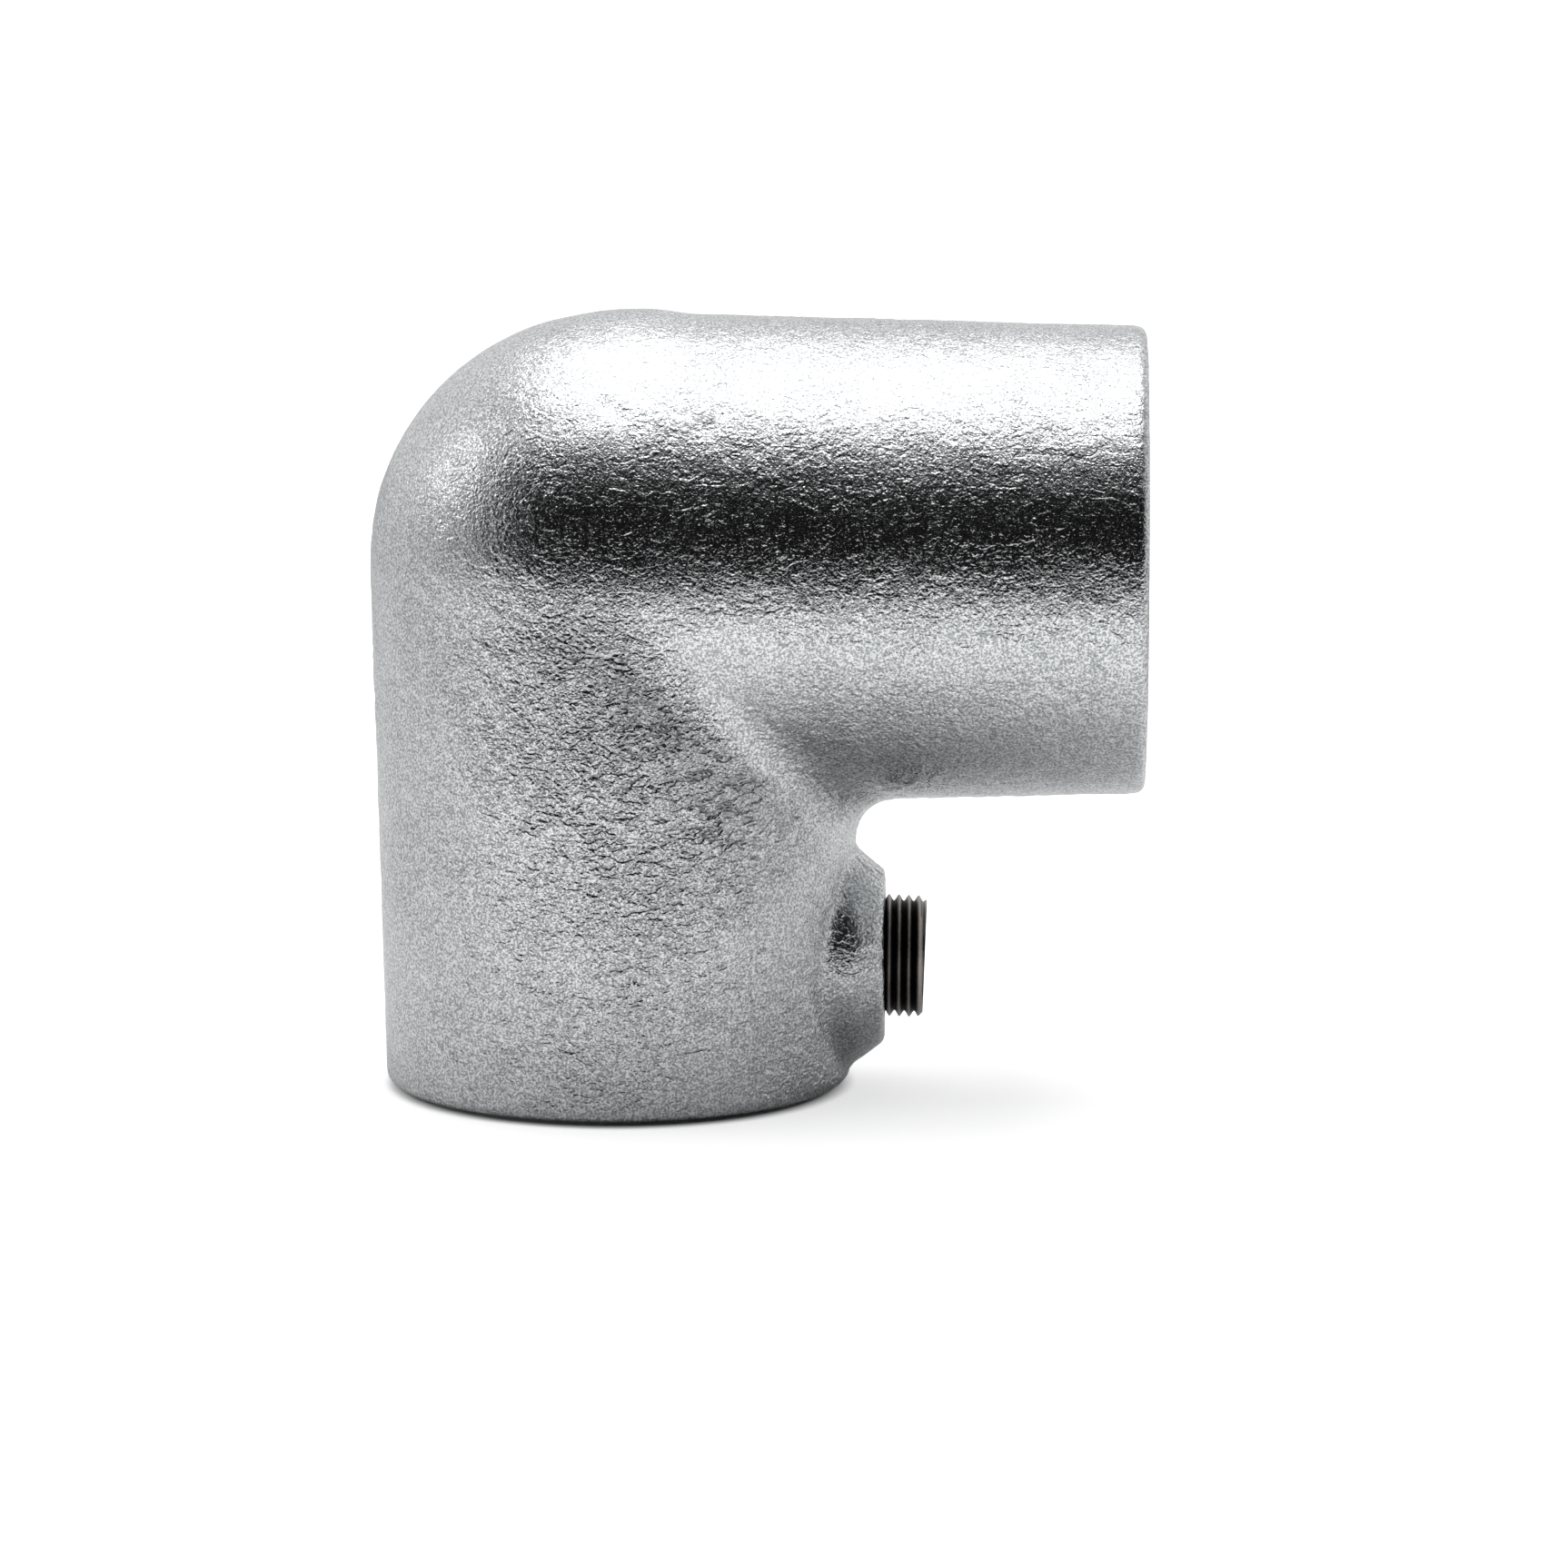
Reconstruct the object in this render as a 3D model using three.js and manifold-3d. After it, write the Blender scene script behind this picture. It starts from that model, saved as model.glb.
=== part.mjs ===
// A 90 degree tube-clamp elbow: one galvanised malleable-iron casting with two equal sockets, and two
// hexagon-socket set screws. A plain tube slides into each socket as far as its stop ledge, and that socket's
// set screw is turned in until its cup point bites the tube. The elbow stands on the mouth of its post socket.
// Millimetres, +Z up. The rail socket points along +X and the post socket opens downwards.
import * as THREE from "three";
import { mergeVertices } from "three/addons/utils/BufferGeometryUtils.js";
import Module from "manifold-3d";

const wasm = await Module();
wasm.setup();

// ---- Driving dimensions -------------------------------------------------------------------------------

const tubeDiameter = 48.3; // outside diameter of the structural tube that both sockets hold
const boreClearance = 1.5; // how much wider the cast socket is than the tube
const mouthWall = 6.6; // wall at a socket's mouth
const draftDegrees = 1.4; // each limb grows by this angle from its mouth to the corner
const centreToMouth = 71.5; // from the crossing of the two axes to either mouth
const socketDepth = 43; // from a mouth to the ledge that stops the tube
const ledgeWidth = 3; // how far the ledge stands inside the bore
const cornerWall = 7.2; // wall of the rounded corner
const mouthChamfer = 1.2; // outer edge of a mouth
const leadInChamfer = 0.8; // inner edge of a mouth

const threadDiameter = 16.66; // parallel pipe thread, 3/8 inch size, over the crests
const threadPitch = 1.337; // 19 threads to the inch
const threadDepth = 0.856;
const screwLength = 14.5;
const screwStandsOut = 5.5; // beyond its boss, with no tube clamped
const keyAcrossFlats = 8;
const keyDepth = 6.5;
const cupRadius = 5.6; // the ring that bites the tube
const cupDepth = 1.6;
const tappedHoleClearance = 0.15; // radial gap between the screw's crests and the plain hole

const bossHeight = 17; // from a mouth to its screw's axis
const bossFaceDistance = 36.4; // from the limb's axis to the boss's flat face
const bossFaceRadius = 11.7;
const bossRadius = 14.7; // where the boss meets the limb
const bossTaperLength = 4.2; // the sloping part of the boss

const webRadius = 20; // the strut of round section that fills the inner corner
const webRise = 2.2; // how far it stands out of the sharp valley

const crownSwellRise = 0.5; // the low swelling on top of the corner, where the molten iron was fed in
const crownSwellRadius = 30; // a ball of this radius makes it
const crownSwellShift = 3; // towards the rail mouth

const roundSides = 48;
const threadSides = 32;

// ---- Dimensions that follow ---------------------------------------------------------------------------

const boreRadius = (tubeDiameter + boreClearance) / 2;
const mouthRadius = boreRadius + mouthWall;
const draftSlope = Math.tan(THREE.MathUtils.degToRad(draftDegrees));
const cornerRadius = mouthRadius + centreToMouth * draftSlope;
const passageRadius = boreRadius - ledgeWidth;
const screwReach = bossFaceDistance + screwStandsOut;
const threadRoot = threadDiameter / 2 - threadDepth;
// The origin is under the middle of the whole object, at the post mouth's level.
const postAxisX = (cornerRadius - centreToMouth) / 2;
const postAxisY = (cornerRadius - screwReach) / 2;

// ---- Solids -------------------------------------------------------------------------------------------

// A closed three.js geometry as a solid that can be joined and cut.
function solid(geometry) {
  const bare = geometry.clone();
  for (const name of Object.keys(bare.attributes)) if (name !== "position") bare.deleteAttribute(name);
  const merged = mergeVertices(bare, 1e-4);
  return new wasm.Manifold(
    new wasm.Mesh({
      numProp: 3,
      vertProperties: merged.attributes.position.array,
      triVerts: new Uint32Array(merged.index.array),
    }),
  );
}

function named(name, made, material) {
  const mesh = made.getMesh();
  const geometry = new THREE.BufferGeometry();
  geometry.setAttribute("position", new THREE.BufferAttribute(mesh.vertProperties, 3));
  geometry.setIndex(new THREE.BufferAttribute(mesh.triVerts, 1));
  geometry.computeVertexNormals();
  const piece = new THREE.Mesh(geometry, material);
  piece.name = name;
  return piece;
}

// A round solid about +Z from its outline, given as [radius, height] pairs from the bottom of the axis up.
function turned(outline, sides = roundSides) {
  const points = outline.map(([radius, height]) => new THREE.Vector2(radius, height));
  return new THREE.LatheGeometry(points, sides).rotateX(Math.PI / 2);
}

// ---- The casting --------------------------------------------------------------------------------------

// Each limb is made standing on its mouth at the origin, with its axis along +Z, and then turned into place.
function limbOutside() {
  return turned([
    [0, 0],
    [mouthRadius - mouthChamfer, 0],
    [mouthRadius + mouthChamfer * draftSlope, mouthChamfer],
    [cornerRadius, centreToMouth],
    [0, centreToMouth],
  ]);
}

function limbHollow() {
  return turned([
    [0, -1],
    [boreRadius + leadInChamfer + 1, -1],
    [boreRadius, leadInChamfer],
    [boreRadius, socketDepth],
    [passageRadius, socketDepth],
    [passageRadius, centreToMouth],
    [0, centreToMouth],
  ]);
}

// A boss on the limb's +X side, around the tapped hole.
function boss() {
  return turned([
    [0, boreRadius + 1],
    [bossRadius, boreRadius + 1],
    [bossRadius, bossFaceDistance - bossTaperLength],
    [bossFaceRadius, bossFaceDistance],
    [0, bossFaceDistance],
  ])
    .rotateY(Math.PI / 2)
    .translate(0, 0, bossHeight);
}

function tappedHole() {
  const radius = threadDiameter / 2 + tappedHoleClearance;
  return turned([
    [0, passageRadius],
    [radius, passageRadius],
    [radius, bossFaceDistance + 1],
    [0, bossFaceDistance + 1],
  ])
    .rotateY(Math.PI / 2)
    .translate(0, 0, bossHeight);
}

// A short strut across the inner corner, which eases the sharp valley between the two limbs. It runs at 45
// degrees from the post's axis to the rail's, and only its lower side shows.
function cornerWeb() {
  const valley = cornerRadius / (1 + draftSlope); // the sharp valley would be this far from both axes
  const length = 2 * (valley * Math.SQRT2 + webRise - webRadius);
  return turned([
    [0, 0],
    [webRadius, 0],
    [webRadius, length],
    [0, length],
  ])
    .rotateY(Math.PI / 4)
    .translate(0, 0, centreToMouth - length / Math.SQRT2);
}

function ball(radius) {
  return new THREE.SphereGeometry(radius, roundSides, roundSides / 2)
    .rotateX(Math.PI / 2)
    .translate(0, 0, centreToMouth);
}

function crownSwell() {
  return ball(crownSwellRadius).translate(
    crownSwellShift,
    0,
    cornerRadius + crownSwellRise - crownSwellRadius,
  );
}

// Turns a limb's piece from the post's place to the rail's: the mouth moves to +X, and the side that carries
// the boss turns from the inside of the corner to the back.
function toRail(geometry) {
  return geometry
    .rotateZ(Math.PI / 2)
    .translate(0, 0, -centreToMouth)
    .rotateY(-Math.PI / 2)
    .translate(0, 0, centreToMouth);
}

function elbowBody() {
  const outside = [
    limbOutside(),
    toRail(limbOutside()),
    ball(cornerRadius),
    cornerWeb(),
    boss(),
    toRail(boss()),
    crownSwell(),
  ];
  const inside = [
    limbHollow(),
    toRail(limbHollow()),
    ball(cornerRadius - cornerWall),
    tappedHole(),
    toRail(tappedHole()),
  ];
  let casting = solid(outside[0]);
  for (const piece of outside.slice(1)) casting = casting.add(solid(piece));
  for (const piece of inside) casting = casting.subtract(solid(piece));
  return casting;
}

// ---- The set screws -----------------------------------------------------------------------------------

// A rod along +Z with one right-hand thread on it. Its rows of points follow the helix, two to a turn: a root
// and a crest.
function threadedRod(length) {
  const turns = Math.ceil(length / threadPitch) + 2;
  const rows = 2 * turns;
  const positions = [];
  const indices = [];
  const row = (r, s) => r * (threadSides + 1) + s;
  for (let r = 0; r <= rows; r++) {
    for (let s = 0; s <= threadSides; s++) {
      const angle = (2 * Math.PI * s) / threadSides;
      const radius = r % 2 ? threadDiameter / 2 : threadRoot;
      const height = threadPitch * (r / 2 + s / threadSides - 1);
      positions.push(radius * Math.cos(angle), radius * Math.sin(angle), height);
    }
  }
  for (let r = 0; r < rows; r++) {
    for (let s = 0; s < threadSides; s++) {
      indices.push(row(r, s), row(r, s + 1), row(r + 1, s + 1));
      indices.push(row(r, s), row(r + 1, s + 1), row(r + 1, s));
    }
  }
  // Each end is closed by a fan round the helix's last turn and back down its step.
  const bottom = positions.length / 3;
  positions.push(0, 0, -threadPitch);
  const top = bottom + 1;
  positions.push(0, 0, threadPitch * (turns + 1));
  for (let s = 0; s < threadSides; s++) {
    indices.push(bottom, row(0, s + 1), row(0, s));
    indices.push(top, row(rows, s), row(rows, s + 1));
  }
  for (const r of [0, 1]) {
    indices.push(bottom, row(r, 0), row(r + 1, 0));
    indices.push(top, row(rows - r, threadSides), row(rows - r - 1, threadSides));
  }
  const geometry = new THREE.BufferGeometry();
  geometry.setAttribute("position", new THREE.Float32BufferAttribute(positions, 3));
  geometry.setIndex(indices);
  return geometry;
}

// The screw stands on its cup point at the origin, with its key socket at the top.
function setScrew() {
  const crest = threadDiameter / 2;
  const envelope = turned([
    [0, cupDepth],
    [cupRadius, 0],
    [cupRadius + 0.5, 0],
    [crest + 0.1, 2],
    [crest + 0.1, screwLength - 0.9],
    [threadRoot - 0.3, screwLength],
    [0, screwLength],
  ]);
  const keyRadius = keyAcrossFlats / Math.sqrt(3);
  const key = new THREE.CylinderGeometry(keyRadius, keyRadius, 2 * keyDepth, 6)
    .rotateX(Math.PI / 2)
    .translate(0, 0, screwLength);
  return solid(threadedRod(screwLength)).intersect(solid(envelope)).subtract(solid(key));
}

// ---- Finishes and assembly ----------------------------------------------------------------------------

const galvanised = new THREE.MeshStandardMaterial({ color: 0xb4b8ba, roughness: 0.42, metalness: 1 });
const darkSteel = new THREE.MeshStandardMaterial({ color: 0x4a4642, roughness: 0.38, metalness: 1 });

const elbow = new THREE.Group();
elbow.position.set(postAxisX, postAxisY, 0);
elbow.add(named("elbow_body", elbowBody(), galvanised));

const postScrew = named("post_set_screw", setScrew(), darkSteel);
postScrew.position.set(screwReach - screwLength, 0, bossHeight);
postScrew.rotation.y = Math.PI / 2;
elbow.add(postScrew);

const railScrew = named("rail_set_screw", setScrew(), darkSteel);
railScrew.position.set(centreToMouth - bossHeight, screwReach - screwLength, centreToMouth);
railScrew.rotation.x = -Math.PI / 2;
elbow.add(railScrew);

const part = new THREE.Group();
part.add(elbow);

export default part;
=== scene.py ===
# %% [markdown]
# # A cast tube-clamp elbow
#
# This fitting joins two plain handrail tubes at a right angle. It is one galvanised iron casting with two
# sockets, and each socket has a screw with a hexagon hole in its end. The screw is turned in until its cup
# point bites the tube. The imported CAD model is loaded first, because sizes and places below come from it.

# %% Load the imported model
import math
import bpy
import numpy as np
from mathutils import Matrix, Vector


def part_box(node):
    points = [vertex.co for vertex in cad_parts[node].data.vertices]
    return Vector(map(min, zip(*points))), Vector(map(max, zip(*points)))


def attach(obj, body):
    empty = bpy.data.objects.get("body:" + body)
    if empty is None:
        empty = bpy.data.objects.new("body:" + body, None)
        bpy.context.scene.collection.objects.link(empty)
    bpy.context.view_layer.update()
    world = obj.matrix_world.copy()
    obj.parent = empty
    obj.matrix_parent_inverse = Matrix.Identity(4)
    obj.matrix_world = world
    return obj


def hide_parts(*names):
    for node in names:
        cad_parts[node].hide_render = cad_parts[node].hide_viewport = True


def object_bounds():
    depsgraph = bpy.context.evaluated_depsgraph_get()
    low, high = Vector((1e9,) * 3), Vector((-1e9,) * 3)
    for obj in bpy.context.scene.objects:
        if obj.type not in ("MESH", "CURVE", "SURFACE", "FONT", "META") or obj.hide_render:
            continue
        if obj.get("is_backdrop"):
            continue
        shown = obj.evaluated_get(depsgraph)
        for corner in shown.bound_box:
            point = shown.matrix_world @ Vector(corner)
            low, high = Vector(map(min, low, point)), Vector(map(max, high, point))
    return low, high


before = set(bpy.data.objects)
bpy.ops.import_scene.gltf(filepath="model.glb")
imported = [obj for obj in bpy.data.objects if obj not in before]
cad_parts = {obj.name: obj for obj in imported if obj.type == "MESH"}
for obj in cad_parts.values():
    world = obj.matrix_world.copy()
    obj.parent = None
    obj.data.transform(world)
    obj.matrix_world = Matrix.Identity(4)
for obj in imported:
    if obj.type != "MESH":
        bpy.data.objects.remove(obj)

cad_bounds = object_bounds()


# %% Every mesh, light and camera enters the scene the same way
def put_in_scene(name, data):
    thing = bpy.data.objects.new(name, data)
    bpy.context.scene.collection.objects.link(thing)
    return thing


# %% [markdown]
# ## Sizes
#
# The boxes of the CAD nodes give the places: each screw's box is centred on that screw's axis, and the
# elbow's box ends at the mouths. The few sizes that no box shows are named here, in metres.

# %% Sizes of the casting and the screws
MM = 0.001
MOUTH_RADIUS = 31.5 * MM
BORE_RADIUS = 24.9 * MM
PASSAGE_RADIUS = 21.9 * MM
CHAMBER_RADIUS = 26 * MM
SOCKET_DEPTH = 43 * MM
BOSS_RADIUS = 14.7 * MM
BOSS_FACE_RADIUS = 11.7 * MM
BOSS_TAPER = 3 / 4.2
INNER_FILLET = 7 * MM
BOSS_FILLET = 1.7 * MM
BOSS_EDGE = 0.75 * MM

THREAD_PITCH = 1.337 * MM
THREAD_DEPTH = 0.856 * MM
KEY_FLATS = 8 * MM
KEY_DEPTH = 6.5 * MM
CUP_RADIUS = 5.6 * MM
CUP_DEPTH = 1.6 * MM

elbow_low, elbow_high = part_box("elbow_body")
post_screw_low, post_screw_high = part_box("post_set_screw")
rail_screw_low, rail_screw_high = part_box("rail_set_screw")

axis_y = (post_screw_low.y + post_screw_high.y) / 2
rail_z = (rail_screw_low.z + rail_screw_high.z) / 2
centre_to_mouth = rail_z - elbow_low.z
post_x = elbow_high.x - centre_to_mouth
crossing = np.array((post_x, axis_y, rail_z))
corner_radius = post_x - elbow_low.x
draft = (corner_radius - MOUTH_RADIUS) / centre_to_mouth
boss_along = centre_to_mouth - (post_screw_low.z + post_screw_high.z) / 2
boss_reach = elbow_high.y - axis_y
screw_length = post_screw_high.x - post_screw_low.x
screw_radius = (post_screw_high.z - post_screw_low.z) / 2
screw_start = post_screw_low.x - post_x
print(f"centre to mouth {centre_to_mouth / MM:.1f} mm, corner radius {corner_radius / MM:.2f} mm")
print(f"boss face {boss_reach / MM:.1f} mm from the axis, screw {screw_length / MM:.1f} mm long")

# %% [markdown]
# ## Camera
#
# A long lens from a little above the object, almost square to the plane of the two sockets. The lens axis
# passes below the middle of the elbow, so the elbow stands above the middle of the picture.

# %% Camera
CAMERA_DISTANCE = 1.1
CAMERA_AZIMUTH = math.radians(1.41)
CAMERA_ELEVATION = math.radians(9.9)
AIM_RIGHT = 3.56 * MM
AIM_BELOW = 11.9 * MM
LENS_LENGTH = 186.2
SENSOR_WIDTH = 36

camera_data = bpy.data.cameras.new("studio_camera")
camera_data.sensor_width = SENSOR_WIDTH
camera_data.lens = LENS_LENGTH
camera_data.clip_start = 0.05
camera = put_in_scene("studio_camera", camera_data)
bpy.context.scene.camera = camera
camera_turn = (
    Matrix.Rotation(CAMERA_AZIMUTH, 3, "Z")
    @ Matrix.Rotation(math.pi / 2 - CAMERA_ELEVATION, 3, "X")
)
elbow_middle = Vector((0, axis_y, (elbow_low.z + elbow_high.z) / 2))
lens_axis_point = elbow_middle + camera_turn @ Vector((AIM_RIGHT, -AIM_BELOW, 0))
camera.matrix_world = Matrix.Translation(
    lens_axis_point + camera_turn @ Vector((0, 0, CAMERA_DISTANCE))
) @ camera_turn.to_4x4()
print("camera at", [round(value, 3) for value in camera.matrix_world.translation])

# %% [markdown]
# ## The shape of the casting as one formula
#
# A pattern maker would turn two tapered limbs, glue them into a corner, add the bosses and ease every inner
# corner with wax. A signed distance does the same in code: it is negative in the iron and positive outside.
# The smaller of two distances joins two bodies, and easing that choice over a small width makes the fillet.
# Points are given from the crossing of the two axes, with x along the rail and z up.

# %% Distances that join and round
def eased_smaller(first, second, ease):
    overlap = np.maximum(ease - np.abs(first - second), 0)
    return np.minimum(first, second) - overlap**2 / (4 * np.maximum(ease, 1e-9))


def eased_larger(first, second, ease):
    return -eased_smaller(-first, -second, ease)


def limb_distance(along, across, aside):
    """A limb tapers towards its mouth, and starts as half a ball at the crossing."""
    radial = np.hypot(across, aside)
    tapered = radial - (corner_radius - draft * along)
    rounded = np.hypot(radial, along) - corner_radius
    return np.where(along > 0, tapered, rounded)


def boss_distance(outwards, radial):
    side = radial - BOSS_RADIUS
    slope = math.cos(math.atan(BOSS_TAPER))
    flank = (radial - BOSS_FACE_RADIUS - (boss_reach - outwards) * BOSS_TAPER) * slope
    body = eased_larger(eased_larger(side, flank, BOSS_EDGE), outwards - boss_reach, BOSS_EDGE)
    return np.maximum(body, BORE_RADIUS / 2 - outwards)


# %% The outside and the hollow
CROWN_RADIUS = 30 * MM
CROWN_RISE = 0.5 * MM
CROWN_SHIFT = 3 * MM
CROWN_EASE = 0.4 * MM
PASSAGE_EASE = 1 * MM
CHAMBER_EASE = 2 * MM


def outside_distance(point):
    x, y, z = point[..., 0], point[..., 1], point[..., 2]
    post = limb_distance(-z, x, y)
    rail = limb_distance(x, z, y)
    # The fillet is full where the limbs meet square, and dies out where they run into each other.
    meet = np.maximum(x, 0) * np.maximum(-z, 0) / (np.hypot(x, y) * np.hypot(z, y) + 1e-12)
    body = eased_smaller(post, rail, INNER_FILLET * meet)
    crown_height = corner_radius + CROWN_RISE - CROWN_RADIUS
    crown = np.sqrt((x - CROWN_SHIFT) ** 2 + y**2 + (z - crown_height) ** 2) - CROWN_RADIUS
    body = eased_smaller(body, crown, CROWN_EASE)
    post_boss = boss_distance(x, np.hypot(y, z + boss_along))
    rail_boss = boss_distance(y, np.hypot(z, x - boss_along))
    body = eased_smaller(body, post_boss, BOSS_FILLET)
    return eased_smaller(body, rail_boss, BOSS_FILLET)


def hollow_distance(point):
    x, y, z = point[..., 0], point[..., 1], point[..., 2]
    post = np.maximum(np.hypot(x, y) - PASSAGE_RADIUS, z)
    rail = np.maximum(np.hypot(z, y) - PASSAGE_RADIUS, -x)
    chamber = np.sqrt(x**2 + y**2 + z**2) - CHAMBER_RADIUS
    return eased_smaller(eased_smaller(post, rail, PASSAGE_EASE), chamber, CHAMBER_EASE)


# %% [markdown]
# ## The skin of the casting
#
# The skin is a grid swept along the elbow, one ring of points after another. Near a mouth the rings lie
# square to the socket, and round the corner they fan out from a pivot beyond the inner corner. Each ring's
# points are found by walking outwards until the distance changes sign. The last ring of the outside turns
# over the rounded mouth into the bore, and the bore leads back, so the grid closes on itself like a tyre.

# %% Sweep rings over a distance
SIDES = 284
side_angle = np.linspace(0, 2 * math.pi, SIDES, endpoint=False)


def fan(pivot, first_degrees, last_degrees, count):
    """Ring planes about a pivot that is the same distance beyond both axes: middles and first directions."""
    turn = np.radians(np.linspace(first_degrees, last_degrees, count))
    inward = np.stack([-np.cos(turn), np.zeros(count), np.sin(turn)], axis=1)
    return np.array((pivot, 0, -pivot)) + pivot * inward, inward


def straight(distances, on_rail):
    """Ring planes square to a socket, at these distances from the crossing."""
    distances = np.asarray(distances)[:, None]
    axis = np.array((1.0, 0, 0)) if on_rail else np.array((0, 0, -1.0))
    inward = np.array((0, 0, 1.0)) if on_rail else np.array((-1.0, 0, 0))
    return distances * axis, np.repeat(inward[None], len(distances), axis=0)


def ring_points(middles, inwards, radius):
    """Points at a radius (one for all, or one each) around ring middles."""
    first = np.cos(side_angle)[None, :, None] * inwards[:, None, :]
    second = np.sin(side_angle)[None, :, None] * np.array((0, 1.0, 0))
    return middles[:, None, :] + np.broadcast_to(radius, (len(middles), SIDES))[..., None] * (first + second)


def surface_radius(distance, middles, inwards, furthest, steps=72, halvings=14):
    """How far each ray runs before the distance turns positive."""
    low = np.zeros((len(middles), SIDES))
    found = np.zeros(low.shape, bool)
    for step in range(1, steps + 1):
        outside = distance(ring_points(middles, inwards, step * furthest / steps)) > 0
        found |= outside
        low = np.where(found, low, step * furthest / steps)
    high = low + furthest / steps
    for _ in range(halvings):
        middle = (low + high) / 2
        outside = distance(ring_points(middles, inwards, middle)) > 0
        high = np.where(outside, middle, high)
        low = np.where(outside, low, middle)
    return (low + high) / 2


# %% Rings of the outside, the mouths and the hollow
OUTER_PIVOT = 62 * MM
OUTER_RINGS = 196
HOLLOW_RINGS = 34
SOCKET_RINGS = 15
MOUTH_STEPS = 12
INNER_PIVOT = SOCKET_DEPTH * 0.65
MOUTH_ROUND = 1.35 * MM
LEAD_IN = 0.8 * MM


def rings_of(profile, on_rail):
    """One ring for each pair of a distance from the crossing and a radius."""
    rings = []
    for distance, radius in profile:
        middles, inwards = straight([distance], on_rail)
        rings.append(ring_points(middles, inwards, radius))
    return np.concatenate(rings)


def mouth_rings(on_rail):
    """From the outer skin over the rounded rim, across the flat face and into the bore."""
    shoulder = centre_to_mouth - MOUTH_ROUND
    middles, inwards = straight([shoulder], on_rail)
    skin = surface_radius(outside_distance, middles, inwards, 50 * MM)
    profile = []
    for turn in np.radians((0, 22.5, 45, 67.5, 90)):
        profile.append((shoulder + MOUTH_ROUND * math.sin(turn), skin - MOUTH_ROUND * (1 - math.cos(turn))))
    for share in (0.33, 0.67):
        edge = skin - MOUTH_ROUND
        profile.append((centre_to_mouth, edge + share * (BORE_RADIUS + LEAD_IN - edge)))
    for turn in np.radians((0, 30, 60, 90)):
        depth = LEAD_IN * (1 - math.cos(turn))
        profile.append((centre_to_mouth - depth, BORE_RADIUS + LEAD_IN * (1 - math.sin(turn))))
    return rings_of(profile, on_rail)


def socket_rings(on_rail):
    """From the bore's mouth to the stop ledge and just past it."""
    ledge = centre_to_mouth - SOCKET_DEPTH
    bore = np.linspace(centre_to_mouth - 3 * MM, ledge + 1 * MM, SOCKET_RINGS)
    profile = [(distance, BORE_RADIUS) for distance in bore]
    profile += [(ledge + 0.3 * MM, BORE_RADIUS - 0.2 * MM), (ledge, BORE_RADIUS - 0.8 * MM)]
    profile += [(ledge, PASSAGE_RADIUS + 0.9 * MM), (ledge - 0.3 * MM, PASSAGE_RADIUS + 0.1 * MM)]
    return rings_of(profile, on_rail)


def casting_rings():
    near_mouth = np.linspace(centre_to_mouth - 1.7 * MM, OUTER_PIVOT, MOUTH_STEPS)
    post_end = straight(near_mouth, False)
    corner = fan(OUTER_PIVOT, 0, 90, OUTER_RINGS)
    rail_end = straight(near_mouth[::-1], True)
    middles = np.concatenate([post_end[0], corner[0], rail_end[0]])
    inwards = np.concatenate([post_end[1], corner[1], rail_end[1]])
    keep = np.r_[True, np.linalg.norm(np.diff(middles, axis=0), axis=1) > 1e-6]
    middles, inwards = middles[keep], inwards[keep]
    outside = ring_points(middles, inwards, surface_radius(outside_distance, middles, inwards, 60 * MM))
    middles, inwards = fan(INNER_PIVOT, 90, 0, HOLLOW_RINGS)
    hollow = ring_points(middles, inwards, surface_radius(hollow_distance, middles, inwards, 44 * MM))
    rail_side = [mouth_rings(True), socket_rings(True)]
    post_side = [socket_rings(False)[::-1], mouth_rings(False)[::-1]]
    return [outside, *rail_side, hollow, *post_side]


# %% Join the rings into one closed mesh
def closed_grid(name, rings):
    """A mesh whose rings join each to the next and the last to the first."""
    count = len(rings)
    ring = np.arange(count)[:, None]
    side = np.arange(SIDES)[None, :]
    corner = [
        (ring, side),
        (ring, (side + 1) % SIDES),
        ((ring + 1) % count, (side + 1) % SIDES),
        ((ring + 1) % count, side),
    ]
    faces = np.stack([(r * SIDES + s).ravel() for r, s in corner], axis=1)
    mesh = bpy.data.meshes.new(name)
    mesh.from_pydata(rings.reshape(-1, 3).tolist(), [], faces.tolist())
    return mesh


def enclosed_volume(mesh):
    mesh.calc_loop_triangles()
    corners = np.array([v.co for v in mesh.vertices])
    triangles = np.array([t.vertices for t in mesh.loop_triangles])
    a, b, c = (corners[triangles[:, k]] for k in range(3))
    return float(np.einsum("ij,ij->i", a, np.cross(b, c)).sum() / 6)


ring_groups = casting_rings()
casting_mesh = closed_grid("casting", np.concatenate(ring_groups) + crossing)
if enclosed_volume(casting_mesh) < 0:
    casting_mesh.flip_normals()
outside_share = np.zeros((sum(len(group) for group in ring_groups), SIDES), np.float32)
outside_share[: len(ring_groups[0])] = 1
roughcast = casting_mesh.attributes.new("roughcast", "FLOAT", "POINT")
roughcast.data.foreach_set("value", outside_share.ravel())
casting = put_in_scene("elbow_casting", casting_mesh)
print(f"casting: {len(casting_mesh.polygons)} faces, {enclosed_volume(casting_mesh) / MM**3 / 1000:.1f} cm3")

# %% [markdown]
# ## Helpers for node trees
#
# Geometry and shader trees are built the same way: add a node, then give each input either a number or
# another node's output. A few short helpers keep the trees below readable.

# %% Node helpers
def plug(tree, socket, value):
    """Sets an input to a number, or joins it to another node's output."""
    if isinstance(value, bpy.types.NodeSocket):
        tree.links.new(value, socket)
    elif value is not None:
        socket.default_value = value


def add(tree, kind, inputs=None, **settings):
    """Adds a node, sets it up, and returns it. Inputs are given by name or by number."""
    node = tree.nodes.new(kind)
    for key, value in settings.items():
        setattr(node, key, value)
    for key, value in (inputs or {}).items():
        plug(tree, node.inputs[key], value)
    return node


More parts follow.
